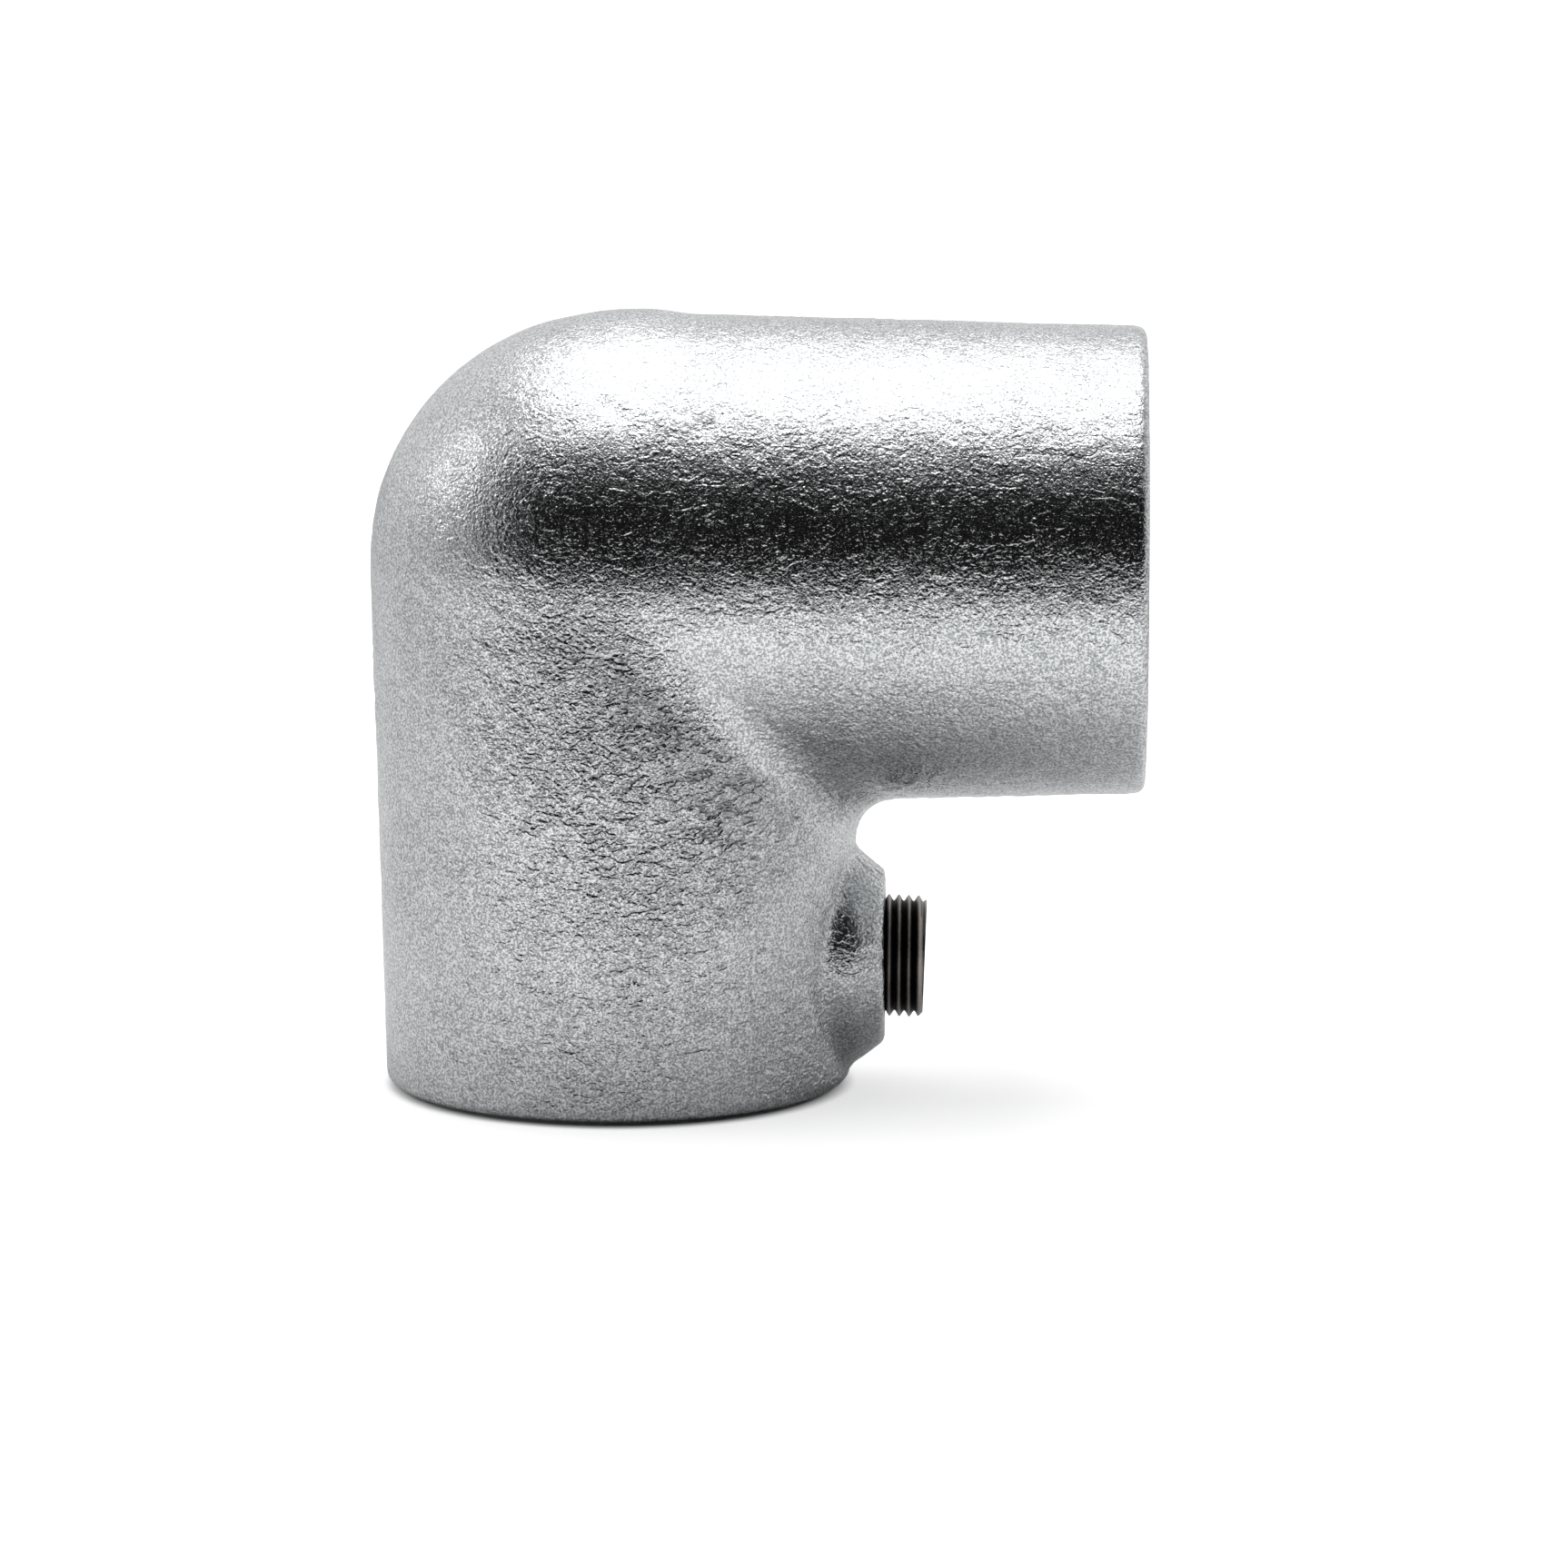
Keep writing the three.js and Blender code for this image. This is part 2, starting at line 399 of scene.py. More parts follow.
def calculate(tree, operation, *values, clamp=False):
    """One step of arithmetic on numbers and outputs."""
    inputs = dict(enumerate(values))
    return add(tree, "ShaderNodeMath", inputs, operation=operation, use_clamp=clamp).outputs[0]


def rescale(tree, value, low, high, to_low=0.0, to_high=1.0, kind="LINEAR"):
    """Maps a range to another, and holds the ends."""
    inputs = {"Value": value, "From Min": low, "From Max": high, "To Min": to_low, "To Max": to_high}
    return add(tree, "ShaderNodeMapRange", inputs, interpolation_type=kind).outputs["Result"]


def new_tree(name, kind, inputs, outputs):
    """A node group with named inputs (name, socket type, default) and outputs (name, socket type)."""
    tree = bpy.data.node_groups.new(name, kind)
    for label, socket_type, default in inputs:
        socket = tree.interface.new_socket(label, in_out="INPUT", socket_type=socket_type)
        if default is not None:
            socket.default_value = default
    for label, socket_type in outputs:
        tree.interface.new_socket(label, in_out="OUTPUT", socket_type=socket_type)
    return tree, tree.nodes.new("NodeGroupInput").outputs, tree.nodes.new("NodeGroupOutput").inputs


def make_with_nodes(start, tree, values, name):
    """Runs a geometry tree on a mesh with these input values, and returns the result as a plain mesh."""
    holder = put_in_scene(name + "_maker", start)
    modifier = holder.modifiers.new(tree.name, "NODES")
    modifier.node_group = tree
    for item in tree.interface.items_tree:
        if item.in_out == "INPUT" and item.name in values:
            modifier[item.identifier] = values[item.name]
    graph = bpy.context.evaluated_depsgraph_get()
    made = bpy.data.meshes.new_from_object(holder.evaluated_get(graph))
    made.name = name
    bpy.data.objects.remove(holder)
    print(f"{name}: {len(made.polygons)} faces from {tree.name}")
    return made


# %% [markdown]
# ## Relief of the sand mould
#
# The iron copies every hollow between the sand grains, and the zinc bath rounds it again. Lumps, and pads
# with narrow valleys between them, are real shape about a tenth of a millimetre high, so a geometry tree
# moves each point of the skin along its normal. A fold of the noise about its middle value makes the
# valleys: the absolute value is smooth everywhere but at the fold. Each blemish is a ring, a nub or a pit at
# a listed place. Inside the bores the relief is weaker, by the "roughcast" value of each point.

# %% Geometry tree: casting relief
PAD_VALLEY = 0.14
PATCH_SIZE = 22 * MM


def noise_at(tree, vector, size, seed=0.0, detail=2, roughness=0.5):
    """Noise from about 0 to 1, whose lumps are about this size in metres."""
    scale = calculate(tree, "DIVIDE", 1.0, size) if isinstance(size, bpy.types.NodeSocket) else 1 / size
    inputs = {"Vector": vector, "W": seed, "Scale": scale, "Detail": detail, "Roughness": roughness}
    return add(tree, "ShaderNodeTexNoise", inputs, noise_dimensions="4D").outputs[0]


def folded(tree, value, width):
    """0 along the fold of a noise, 1 on the flats either side of it."""
    centred = calculate(tree, "SUBTRACT", value, 0.5)
    return rescale(tree, calculate(tree, "ABSOLUTE", centred), 0, width)


relief, given, result = new_tree(
    "casting_relief",
    "GeometryNodeTree",
    [
        ("Geometry", "NodeSocketGeometry", None),
        ("Lump Height", "NodeSocketFloat", 0.0001),
        ("Lump Size", "NodeSocketFloat", 0.008),
        ("Pad Height", "NodeSocketFloat", 0.0001),
        ("Pad Size", "NodeSocketFloat", 0.0024),
        ("Seed", "NodeSocketFloat", 1.0),
        ("Finish", "NodeSocketMaterial", None),
    ],
    [("Geometry", "NodeSocketGeometry")],
)
place = add(relief, "GeometryNodeInputPosition").outputs[0]
lumps = calculate(relief, "SUBTRACT", noise_at(relief, place, given["Lump Size"], given["Seed"], 1), 0.5)
pads = folded(relief, noise_at(relief, place, given["Pad Size"], given["Seed"], 2, 0.55), PAD_VALLEY)
patches = rescale(relief, noise_at(relief, place, PATCH_SIZE, 4.0, 1), 0.4, 0.62, 0.3, 1.0)
height = calculate(
    relief,
    "ADD",
    calculate(relief, "MULTIPLY", lumps, given["Lump Height"]),
    calculate(relief, "MULTIPLY", calculate(relief, "MULTIPLY", pads, given["Pad Height"]), patches),
)

# %% Blemishes at chosen places
# On the post: degrees round from the front (+ towards the rail), and height. On the rail: degrees up, and x.
# Then the radius of the mark, and how far it stands out at its rim and at its middle. Lengths are in mm.
POST_BLEMISHES = [
    (-31, 50, 1.5, 0.16, -0.10),
    (-31, 33, 1.6, 0.10, 0.16),
    (-12, 61, 1.1, 0.0, -0.16),
    (38, 30, 1.2, 0.0, 0.14),
    (152, 40, 1.7, 0.14, -0.12),
]
RAIL_BLEMISHES = [
    (63, 34, 1.1, 0.10, -0.08),
    (47, 28, 0.9, 0.0, -0.16),
    (46, -19.5, 1.7, 0.0, -0.62),
    (43, -17.4, 1.4, 0.0, -0.5),
    (40, -6, 1.6, 0.0, -0.58),
    (51, -4, 1.1, 0.0, -0.42),
    (128, 22, 1.4, 0.12, -0.12),
]


def blemish_height(tree, vector, centre, radius, rim, middle):
    gap = add(tree, "ShaderNodeVectorMath", {0: vector, 1: centre}, operation="DISTANCE").outputs["Value"]
    inner = rescale(tree, gap, 0, radius * 0.8, middle, 0.0, "SMOOTHERSTEP")
    rise = rescale(tree, gap, radius * 0.5, radius, 0.0, rim, "SMOOTHERSTEP")
    fall = rescale(tree, gap, radius, radius * 1.5, 0.0, -rim, "SMOOTHERSTEP")
    return calculate(tree, "ADD", inner, calculate(tree, "ADD", rise, fall))


blemishes = []
for side, at_height, radius, rim, middle in POST_BLEMISHES:
    turn = math.radians(side)
    limb_radius = corner_radius - draft * (rail_z - at_height * MM)
    outwards = Vector((math.sin(turn), -math.cos(turn), 0)) * limb_radius
    centre = Vector((post_x, axis_y, at_height * MM)) + outwards
    blemishes.append((centre, radius * MM, rim * MM, middle * MM))
for side, at_x, radius, rim, middle in RAIL_BLEMISHES:
    turn = math.radians(side)
    limb_radius = corner_radius - draft * max(at_x * MM - post_x, 0)
    outwards = Vector((0, -math.cos(turn), math.sin(turn))) * limb_radius
    centre = Vector((at_x * MM, axis_y, rail_z)) + outwards
    blemishes.append((centre, radius * MM, rim * MM, middle * MM))
for centre, radius, rim, middle in blemishes:
    height = calculate(relief, "ADD", height, blemish_height(relief, place, centre, radius, rim, middle))
print("blemishes:", len(blemishes))

# %% Finish the relief tree
INSIDE_SHARE = 0.4

carried = add(relief, "GeometryNodeInputNamedAttribute", {"Name": "roughcast"}, data_type="FLOAT")
share = rescale(relief, carried.outputs["Attribute"], 0, 1, INSIDE_SHARE, 1)
height = calculate(relief, "MULTIPLY", height, share)
normal = add(relief, "GeometryNodeInputNormal").outputs["Normal"]
offset = add(relief, "ShaderNodeVectorMath", {0: normal, "Scale": height}, operation="SCALE").outputs[0]
moved = add(relief, "GeometryNodeSetPosition", {"Geometry": given["Geometry"], "Offset": offset})
real = add(relief, "GeometryNodeRealizeInstances", {0: moved.outputs[0]})
painted = add(relief, "GeometryNodeSetMaterial", {"Geometry": real.outputs[0], "Material": given["Finish"]})
plug(relief, result[0], painted.outputs[0])
print("casting_relief:", len(relief.nodes), "nodes")

# %% [markdown]
# ## A threaded rod from one grid
#
# A thread is a rule, so a geometry tree makes it. A flat grid is wound into a helix: its rows follow the
# thread, eight to a turn, and its columns go round. Each row's place in the thread's profile gives its
# radius, two cones limit it at the point and at the outer end, and the rows that run past either end close
# in to the axis. The hexagon socket and the hollow cup point are then cut with the Mesh Boolean node.

# %% Geometry tree: threaded rod
ROWS_PER_TURN = 8
ROOT_FLAT = 0.12
CREST_FLAT = 0.12
CONE_SLOPE = 1.1

rod, given, result = new_tree(
    "threaded_rod",
    "GeometryNodeTree",
    [
        ("Geometry", "NodeSocketGeometry", None),
        ("Length", "NodeSocketFloat", 0.0145),
        ("Crest Radius", "NodeSocketFloat", 0.00833),
        ("Thread Depth", "NodeSocketFloat", 0.000856),
        ("Pitch", "NodeSocketFloat", 0.001337),
        ("Point Radius", "NodeSocketFloat", 0.006),
        ("End Radius", "NodeSocketFloat", 0.007),
        ("Key Flats", "NodeSocketFloat", 0.008),
        ("Key Depth", "NodeSocketFloat", 0.0065),
        ("Cup Radius", "NodeSocketFloat", 0.0056),
        ("Cup Depth", "NodeSocketFloat", 0.0016),
        ("Sockets", "NodeSocketBool", True),
        ("Sides", "NodeSocketInt", 96),
        ("Finish", "NodeSocketMaterial", None),
    ],
    [("Geometry", "NodeSocketGeometry")],
)
pitch = given["Pitch"]
turns = calculate(rod, "ADD", calculate(rod, "CEIL", calculate(rod, "DIVIDE", given["Length"], pitch)), 3.0)
rows = calculate(rod, "ADD", calculate(rod, "MULTIPLY", turns, ROWS_PER_TURN), 1.0)
columns = calculate(rod, "ADD", given["Sides"], 1.0)
grid = add(rod, "GeometryNodeMeshGrid", {0: 1.0, 1: 1.0, "Vertices X": rows, "Vertices Y": columns})
place = add(rod, "ShaderNodeSeparateXYZ", {0: add(rod, "GeometryNodeInputPosition").outputs[0]})
along = calculate(rod, "ADD", place.outputs[0], 0.5)
thread_turn = calculate(rod, "SUBTRACT", calculate(rod, "MULTIPLY", along, turns), 2.0)
around = calculate(rod, "ADD", place.outputs[1], 0.5)
free_height = calculate(rod, "MULTIPLY", calculate(rod, "ADD", thread_turn, around), pitch)
height = calculate(rod, "MINIMUM", calculate(rod, "MAXIMUM", free_height, 0.0), given["Length"])
to_crest = calculate(rod, "PINGPONG", calculate(rod, "MULTIPLY", thread_turn, 2.0), 1.0)
profile = rescale(rod, to_crest, ROOT_FLAT, 1 - CREST_FLAT)
thread = calculate(
    rod,
    "SUBTRACT",
    given["Crest Radius"],
    calculate(rod, "MULTIPLY", given["Thread Depth"], calculate(rod, "SUBTRACT", 1.0, profile)),
)
left = calculate(rod, "SUBTRACT", given["Length"], height)
point_cone = calculate(rod, "ADD", given["Point Radius"], calculate(rod, "MULTIPLY", height, CONE_SLOPE))
end_cone = calculate(rod, "ADD", given["End Radius"], calculate(rod, "MULTIPLY", left, CONE_SLOPE))
radius = calculate(rod, "MINIMUM", thread, calculate(rod, "MINIMUM", point_cone, end_cone))
past_end = calculate(
    rod,
    "MAXIMUM",
    calculate(rod, "SUBTRACT", free_height, given["Length"]),
    calculate(rod, "MULTIPLY", free_height, -1.0),
)
one_row = calculate(rod, "DIVIDE", pitch, ROWS_PER_TURN)
open_share = rescale(rod, past_end, one_row, calculate(rod, "MULTIPLY", pitch, 0.7), 1, 0)
radius = calculate(rod, "MULTIPLY", radius, open_share)
angle = calculate(rod, "MULTIPLY", around, 2 * math.pi)
wound = add(
    rod,
    "ShaderNodeCombineXYZ",
    {
        0: calculate(rod, "MULTIPLY", radius, calculate(rod, "COSINE", angle)),
        1: calculate(rod, "MULTIPLY", radius, calculate(rod, "SINE", angle)),
        2: height,
    },
).outputs[0]
moved = add(rod, "GeometryNodeSetPosition", {"Geometry": grid.outputs["Mesh"], "Position": wound})
merged = add(rod, "GeometryNodeMergeByDistance", {"Geometry": moved.outputs[0], "Distance": 2e-6})
turned_out = add(rod, "GeometryNodeFlipFaces", {"Mesh": merged.outputs[0]}).outputs[0]
print("threaded_rod:", len(rod.nodes), "nodes so far")

# %% Geometry tree: the key socket and the cup
LEAD_IN_SHARE = 0.09
key_radius = calculate(rod, "DIVIDE", given["Key Flats"], math.sqrt(3))
key = add(
    rod,
    "GeometryNodeMeshCylinder",
    {"Vertices": 6, "Radius": key_radius, "Depth": calculate(rod, "MULTIPLY", given["Key Depth"], 2.0)},
)
lead_in_depth = calculate(rod, "MULTIPLY", given["Key Flats"], LEAD_IN_SHARE)
lead_in = add(
    rod,
    "GeometryNodeMeshCone",
    {
        "Vertices": 48,
        "Radius Top": calculate(rod, "ADD", key_radius, lead_in_depth),
        "Radius Bottom": calculate(rod, "SUBTRACT", key_radius, lead_in_depth),
        "Depth": calculate(rod, "MULTIPLY", lead_in_depth, 2.0),
    },
)
cup = add(
    rod,
    "GeometryNodeMeshCone",
    {
        "Vertices": 64,
        "Radius Top": 0.0,
        "Radius Bottom": calculate(rod, "MULTIPLY", given["Cup Radius"], 2.0),
        "Depth": calculate(rod, "MULTIPLY", given["Cup Depth"], 2.0),
    },
)


def raised(tree, shape, height):
    lift = add(tree, "ShaderNodeCombineXYZ", {2: height}).outputs[0]
    inputs = {"Geometry": shape.outputs["Mesh"], "Translation": lift}
    return add(tree, "GeometryNodeTransform", inputs).outputs[0]


cutters = [
    raised(rod, key, given["Length"]),
    raised(rod, lead_in, calculate(rod, "SUBTRACT", given["Length"], lead_in_depth)),
    raised(rod, cup, calculate(rod, "MULTIPLY", given["Cup Depth"], -1.0)),
]
socketed = turned_out
for cutter in cutters:
    cut = add(rod, "GeometryNodeMeshBoolean", {"Mesh 1": socketed}, operation="DIFFERENCE", solver="MANIFOLD")
    plug(rod, cut.inputs["Mesh 2"], cutter)
    socketed = cut.outputs["Mesh"]
chosen = add(rod, "GeometryNodeSwitch", {"Switch": given["Sockets"], "False": turned_out, "True": socketed})
real = add(rod, "GeometryNodeRealizeInstances", {0: chosen.outputs[0]})
painted = add(rod, "GeometryNodeSetMaterial", {"Geometry": real.outputs[0], "Material": given["Finish"]})
plug(rod, result[0], painted.outputs[0])
print("threaded_rod:", len(rod.nodes), "nodes")

# %% [markdown]
# ## Shared effects for the materials
#
# Two effects serve every metal here. "cast_grain" gives the height of lumps, fine grain and the creases
# between them, for a Bump node, and the creases alone. "soft_mottle" gives a change from 0 to 1, for colour
# and roughness. Both read the place on the object that they are given, so the pattern stays on the piece
# when it moves.

# %% Shader group: cast grain
grain_group, given, result = new_tree(
    "cast_grain",
    "ShaderNodeTree",
    [
        ("Vector", "NodeSocketVector", None),
        ("Coarse Size", "NodeSocketFloat", 0.0013),
        ("Crease Width", "NodeSocketFloat", 0.1),
        ("Crease Share", "NodeSocketFloat", 0.5),
        ("Fine Size", "NodeSocketFloat", 0.0004),
        ("Fine Share", "NodeSocketFloat", 0.3),
        ("Seed", "NodeSocketFloat", 2.0),
    ],
    [("Height", "NodeSocketFloat"), ("Creases", "NodeSocketFloat")],
)
coarse = noise_at(grain_group, given["Vector"], given["Coarse Size"], given["Seed"], 2, 0.6)
fold = folded(grain_group, coarse, given["Crease Width"])
fine = noise_at(grain_group, given["Vector"], given["Fine Size"], given["Seed"], 2, 0.6)
height = calculate(
    grain_group,
    "ADD",
    calculate(grain_group, "MULTIPLY_ADD", fold, given["Crease Share"], coarse),
    calculate(grain_group, "MULTIPLY", fine, given["Fine Share"]),
)
plug(grain_group, result["Height"], height)
plug(grain_group, result["Creases"], calculate(grain_group, "SUBTRACT", 1.0, fold))
print("cast_grain:", len(grain_group.nodes), "nodes")

# %% Shader group: soft mottle
mottle_group, given, result = new_tree(
    "soft_mottle",
    "ShaderNodeTree",
    [
        ("Vector", "NodeSocketVector", None),
        ("Size", "NodeSocketFloat", 0.006),
        ("Detail", "NodeSocketFloat", 4.0),
        ("Contrast", "NodeSocketFloat", 1.0),
        ("Seed", "NodeSocketFloat", 5.0),
    ],
    [("Mottle", "NodeSocketFloat")],
)
cloud = noise_at(mottle_group, given["Vector"], given["Size"], given["Seed"], given["Detail"], 0.55)
centred = calculate(mottle_group, "SUBTRACT", cloud, 0.5)
spread = calculate(mottle_group, "MULTIPLY", centred, given["Contrast"])
mottle = calculate(mottle_group, "MULTIPLY_ADD", spread, 2.2, 0.5, clamp=True)
plug(mottle_group, result["Mottle"], mottle)
print("soft_mottle:", len(mottle_group.nodes), "nodes")


# %% Material helpers
def new_material(name):
    """A material with an empty tree that holds one Principled BSDF, and the place on the object."""
    material = bpy.data.materials.new(name)
    material.use_nodes = True
    tree = material.node_tree
    tree.nodes.clear()
    shader = add(tree, "ShaderNodeBsdfPrincipled")
    plug(tree, add(tree, "ShaderNodeOutputMaterial").inputs["Surface"], shader.outputs[0])
    place = add(tree, "ShaderNodeTexCoord").outputs["Object"]
    return material, tree, shader, place


def use_group(tree, group, inputs):
    """Places a shared effect in a material, with this material's own values."""
    node = add(tree, "ShaderNodeGroup", node_tree=group)
    for key, value in inputs.items():
        plug(tree, node.inputs[key], value)
    return node.outputs


def blend_colours(tree, share, low, high):
    node = add(tree, "ShaderNodeMix", data_type="RGBA")
    plug(tree, node.inputs["Factor"], share)
    for name, colour in (("A", low), ("B", high)):
        socket = next(s for s in node.inputs if s.name == name and s.type == "RGBA")
        plug(tree, socket, colour if isinstance(colour, bpy.types.NodeSocket) else (*colour, 1))
    return next(s for s in node.outputs if s.type == "RGBA")


# %% [markdown]
# ## Galvanised zinc
#
# The hot zinc bath leaves a bright metal skin, a little blue. Its crystals reflect unevenly, so it is
# speckled light and dark a third of a millimetre at a time, and its creases are darkened with painted shade.
# Everything smaller than the mesh can hold comes from two bumps. The first has the pads of one millimetre and
# the folds, which the sand left where it was rammed worst, at the front of the inner corner: they are wider
# than high, come in patches, end sharply beside the mitre of the two limbs and die out away from it. Painted
# shade also darkens the zinc over that rough patch, most beside the mitre. The second bump has the grain of
# less than half a millimetre.

# %% Material: galvanised zinc
ZINC = (0.9, 0.915, 0.925)
ZINC_SPECKLED_AND_SHADED = (0.36, 0.375, 0.39)
ROUGH_MIDDLE = Vector((post_x + 8 * MM, axis_y - corner_radius, rail_z - 22 * MM))
ROUGH_CORE = 8 * MM
ROUGH_REACH = 31 * MM
MITRE_EDGE = 4 * MM
MITRE_FULL = 8 * MM
MITRE_REACH = 26 * MM
FOLDS_WIDER_THAN_HIGH = 1.7
PAD_BUMP_HEIGHT = 0.12 * MM
GRAIN_BUMP_HEIGHT = 0.034 * MM
FOLD_EVERYWHERE = 0.35
FOLD_IN_ROUGH = 0.6
FOLD_BESIDE_MITRE = 2.2
# Painted shade: how much the base colour darkens in the folds, over the rough patch and beside the mitre. The
# speckle is a random dark tone.
PAINTED_SHADE_IN_FOLDS = 0.12
PAINTED_SHADE_IN_ROUGH = 0.12
PAINTED_SHADE_BESIDE_MITRE = 0.4
DROSS_SPECKLE = 0.75

galvanised, tree, shader, place = new_material("galvanised_zinc")
stretch = (1, 1, FOLDS_WIDER_THAN_HIGH)
drawn_out = add(tree, "ShaderNodeVectorMath", {0: place, 1: stretch}, operation="MULTIPLY").outputs[0]
pads = use_group(
    tree,
    grain_group,
    {
        "Vector": place,
        "Coarse Size": 1.4 * MM,
        "Crease Width": 0.14,
        "Crease Share": 0.6,
        "Fine Size": 0.5 * MM,
        "Fine Share": 0.25,
        "Seed": 2.0,
    },
)
folds = use_group(
    tree,
    grain_group,
    {"Vector": drawn_out, "Coarse Size": 4.2 * MM, "Crease Width": 0.05, "Seed": 21.0},
)
grain = use_group(
    tree,
    grain_group,
    {
        "Vector": place,
        "Coarse Size": 0.42 * MM,
        "Crease Width": 0.14,
        "Crease Share": 0.6,
        "Fine Size": 0.2 * MM,
        "Fine Share": 0.4,
        "Seed": 7.0,
    },
)
slow_values = {"Vector": place, "Size": 14 * MM, "Contrast": 1.2, "Seed": 5.0}
slow = use_group(tree, mottle_group, slow_values)["Mottle"]
patchy = use_group(
    tree,
    mottle_group,
    {"Vector": drawn_out, "Size": 5 * MM, "Detail": 2.0, "Contrast": 3.0, "Seed": 23.0},
)["Mottle"]
speckle = use_group(
    tree,
    mottle_group,
    {"Vector": place, "Size": 0.32 * MM, "Detail": 1.0, "Contrast": 4.5, "Seed": 9.0},
)["Mottle"]
from_rough = add(tree, "ShaderNodeVectorMath", {0: place, 1: ROUGH_MIDDLE}, operation="DISTANCE")
rough_share = rescale(tree, from_rough.outputs["Value"], ROUGH_CORE, ROUGH_REACH, 1.0, 0.0, "SMOOTHSTEP")
below_mitre = add(tree, "ShaderNodeVectorMath", {0: place, 1: (-1, 0, -1)}, operation="DOT_PRODUCT")
below_mitre = calculate(tree, "ADD", below_mitre.outputs["Value"], post_x + rail_z)
on_post = rescale(tree, below_mitre, MITRE_EDGE, MITRE_FULL, 0.0, 1.0)
rough_share = calculate(tree, "MULTIPLY", rough_share, on_post)
near_mitre = rescale(tree, below_mitre, (MITRE_EDGE + MITRE_FULL) / 2, MITRE_REACH, 1.0, 0.0)
beside_mitre = calculate(tree, "MULTIPLY", rough_share, near_mitre)

rougher = calculate(tree, "MULTIPLY_ADD", slow, 0.6, calculate(tree, "MULTIPLY", speckle, 0.4))
plug(tree, shader.inputs["Roughness"], rescale(tree, rougher, 0, 1, 0.1, 0.21))
fold_depth = calculate(tree, "MULTIPLY_ADD", rough_share, FOLD_IN_ROUGH, FOLD_EVERYWHERE)
fold_depth = calculate(tree, "MULTIPLY_ADD", beside_mitre, FOLD_BESIDE_MITRE, fold_depth)
fold_depth = calculate(tree, "MULTIPLY", fold_depth, patchy)
fold_drop = calculate(tree, "MULTIPLY", folds["Creases"], fold_depth)
# Painted shade in the pad and fold creases, over the rough patch and beside the mitre, added to a random dark
# speckle.
painted_shade_and_speckle = calculate(tree, "MULTIPLY", pads["Creases"], rescale(tree, slow, 0.2, 0.9, 0.1, 0.3))
painted_shade_and_speckle = calculate(tree, "MULTIPLY_ADD", fold_drop, PAINTED_SHADE_IN_FOLDS, painted_shade_and_speckle)
painted_shade_and_speckle = calculate(tree, "MULTIPLY_ADD", rough_share, PAINTED_SHADE_IN_ROUGH, painted_shade_and_speckle)
painted_shade_and_speckle = calculate(tree, "MULTIPLY_ADD", beside_mitre, PAINTED_SHADE_BESIDE_MITRE, painted_shade_and_speckle)
painted_shade_and_speckle = calculate(tree, "MULTIPLY_ADD", speckle, DROSS_SPECKLE, painted_shade_and_speckle, clamp=True)
plug(tree, shader.inputs["Base Color"], blend_colours(tree, painted_shade_and_speckle, ZINC, ZINC_SPECKLED_AND_SHADED))
shader.inputs["Metallic"].default_value = 1
pad_share = calculate(tree, "MULTIPLY_ADD", rough_share, 0.25, rescale(tree, slow, 0.2, 0.8, 0.45, 0.8))
pad_height = calculate(tree, "MULTIPLY", pads["Height"], pad_share)
pad_height = calculate(tree, "SUBTRACT", pad_height, fold_drop)
pad_values = {"Height": pad_height, "Strength": 1.0, "Distance": PAD_BUMP_HEIGHT}
pad_bump = add(tree, "ShaderNodeBump", pad_values).outputs[0]
grain_values = {"Height": grain["Height"], "Strength": 1.0, "Distance": GRAIN_BUMP_HEIGHT}
grain_values["Normal"] = pad_bump
plug(tree, shader.inputs["Normal"], add(tree, "ShaderNodeBump", grain_values).outputs[0])
print("galvanised_zinc:", len(tree.nodes), "nodes")

# %% [markdown]
# ## Dark screw steel and bare cut iron
#
# The set screws are hardened and oiled, so they are nearly black in the threads. The crests and the end are
# rubbed brighter and a little brown, by the "crest_wear" value that each point of a screw carries. The tapped
# threads were cut after the zinc bath, so they are bare iron.

# %% Material: dark screw steel
STEEL_DARK = (0.035, 0.032, 0.03)
STEEL_RUBBED = (0.48, 0.45, 0.425)

dark_steel, tree, shader, place = new_material("dark_screw_steel")
wear = add(tree, "ShaderNodeAttribute", attribute_name="crest_wear").outputs["Fac"]
patchy_values = {"Vector": place, "Size": 0.5 * MM, "Contrast": 1.0, "Seed": 3.0}
patchy = use_group(tree, mottle_group, patchy_values)["Mottle"]
wear = calculate(tree, "MULTIPLY", wear, rescale(tree, patchy, 0, 1, 0.6, 1.05), clamp=True)
plug(tree, shader.inputs["Base Color"], blend_colours(tree, wear, STEEL_DARK, STEEL_RUBBED))
plug(tree, shader.inputs["Roughness"], rescale(tree, patchy, 0, 1, 0.26, 0.46))
shader.inputs["Metallic"].default_value = 1
scratches = use_group(
    tree,
    grain_group,
    {"Vector": place, "Coarse Size": 0.5 * MM, "Fine Size": 0.15 * MM, "Fine Share": 0.4, "Seed": 11.0},
)
bump = add(tree, "ShaderNodeBump", {"Height": scratches["Height"], "Strength": 0.6, "Distance": 0.02 * MM})
plug(tree, shader.inputs["Normal"], bump.outputs[0])
print("dark_screw_steel:", len(tree.nodes), "nodes")

# %% Material: bare cut iron
IRON_BARE = (0.5, 0.49, 0.475)
IRON_STAINED = (0.3, 0.27, 0.24)

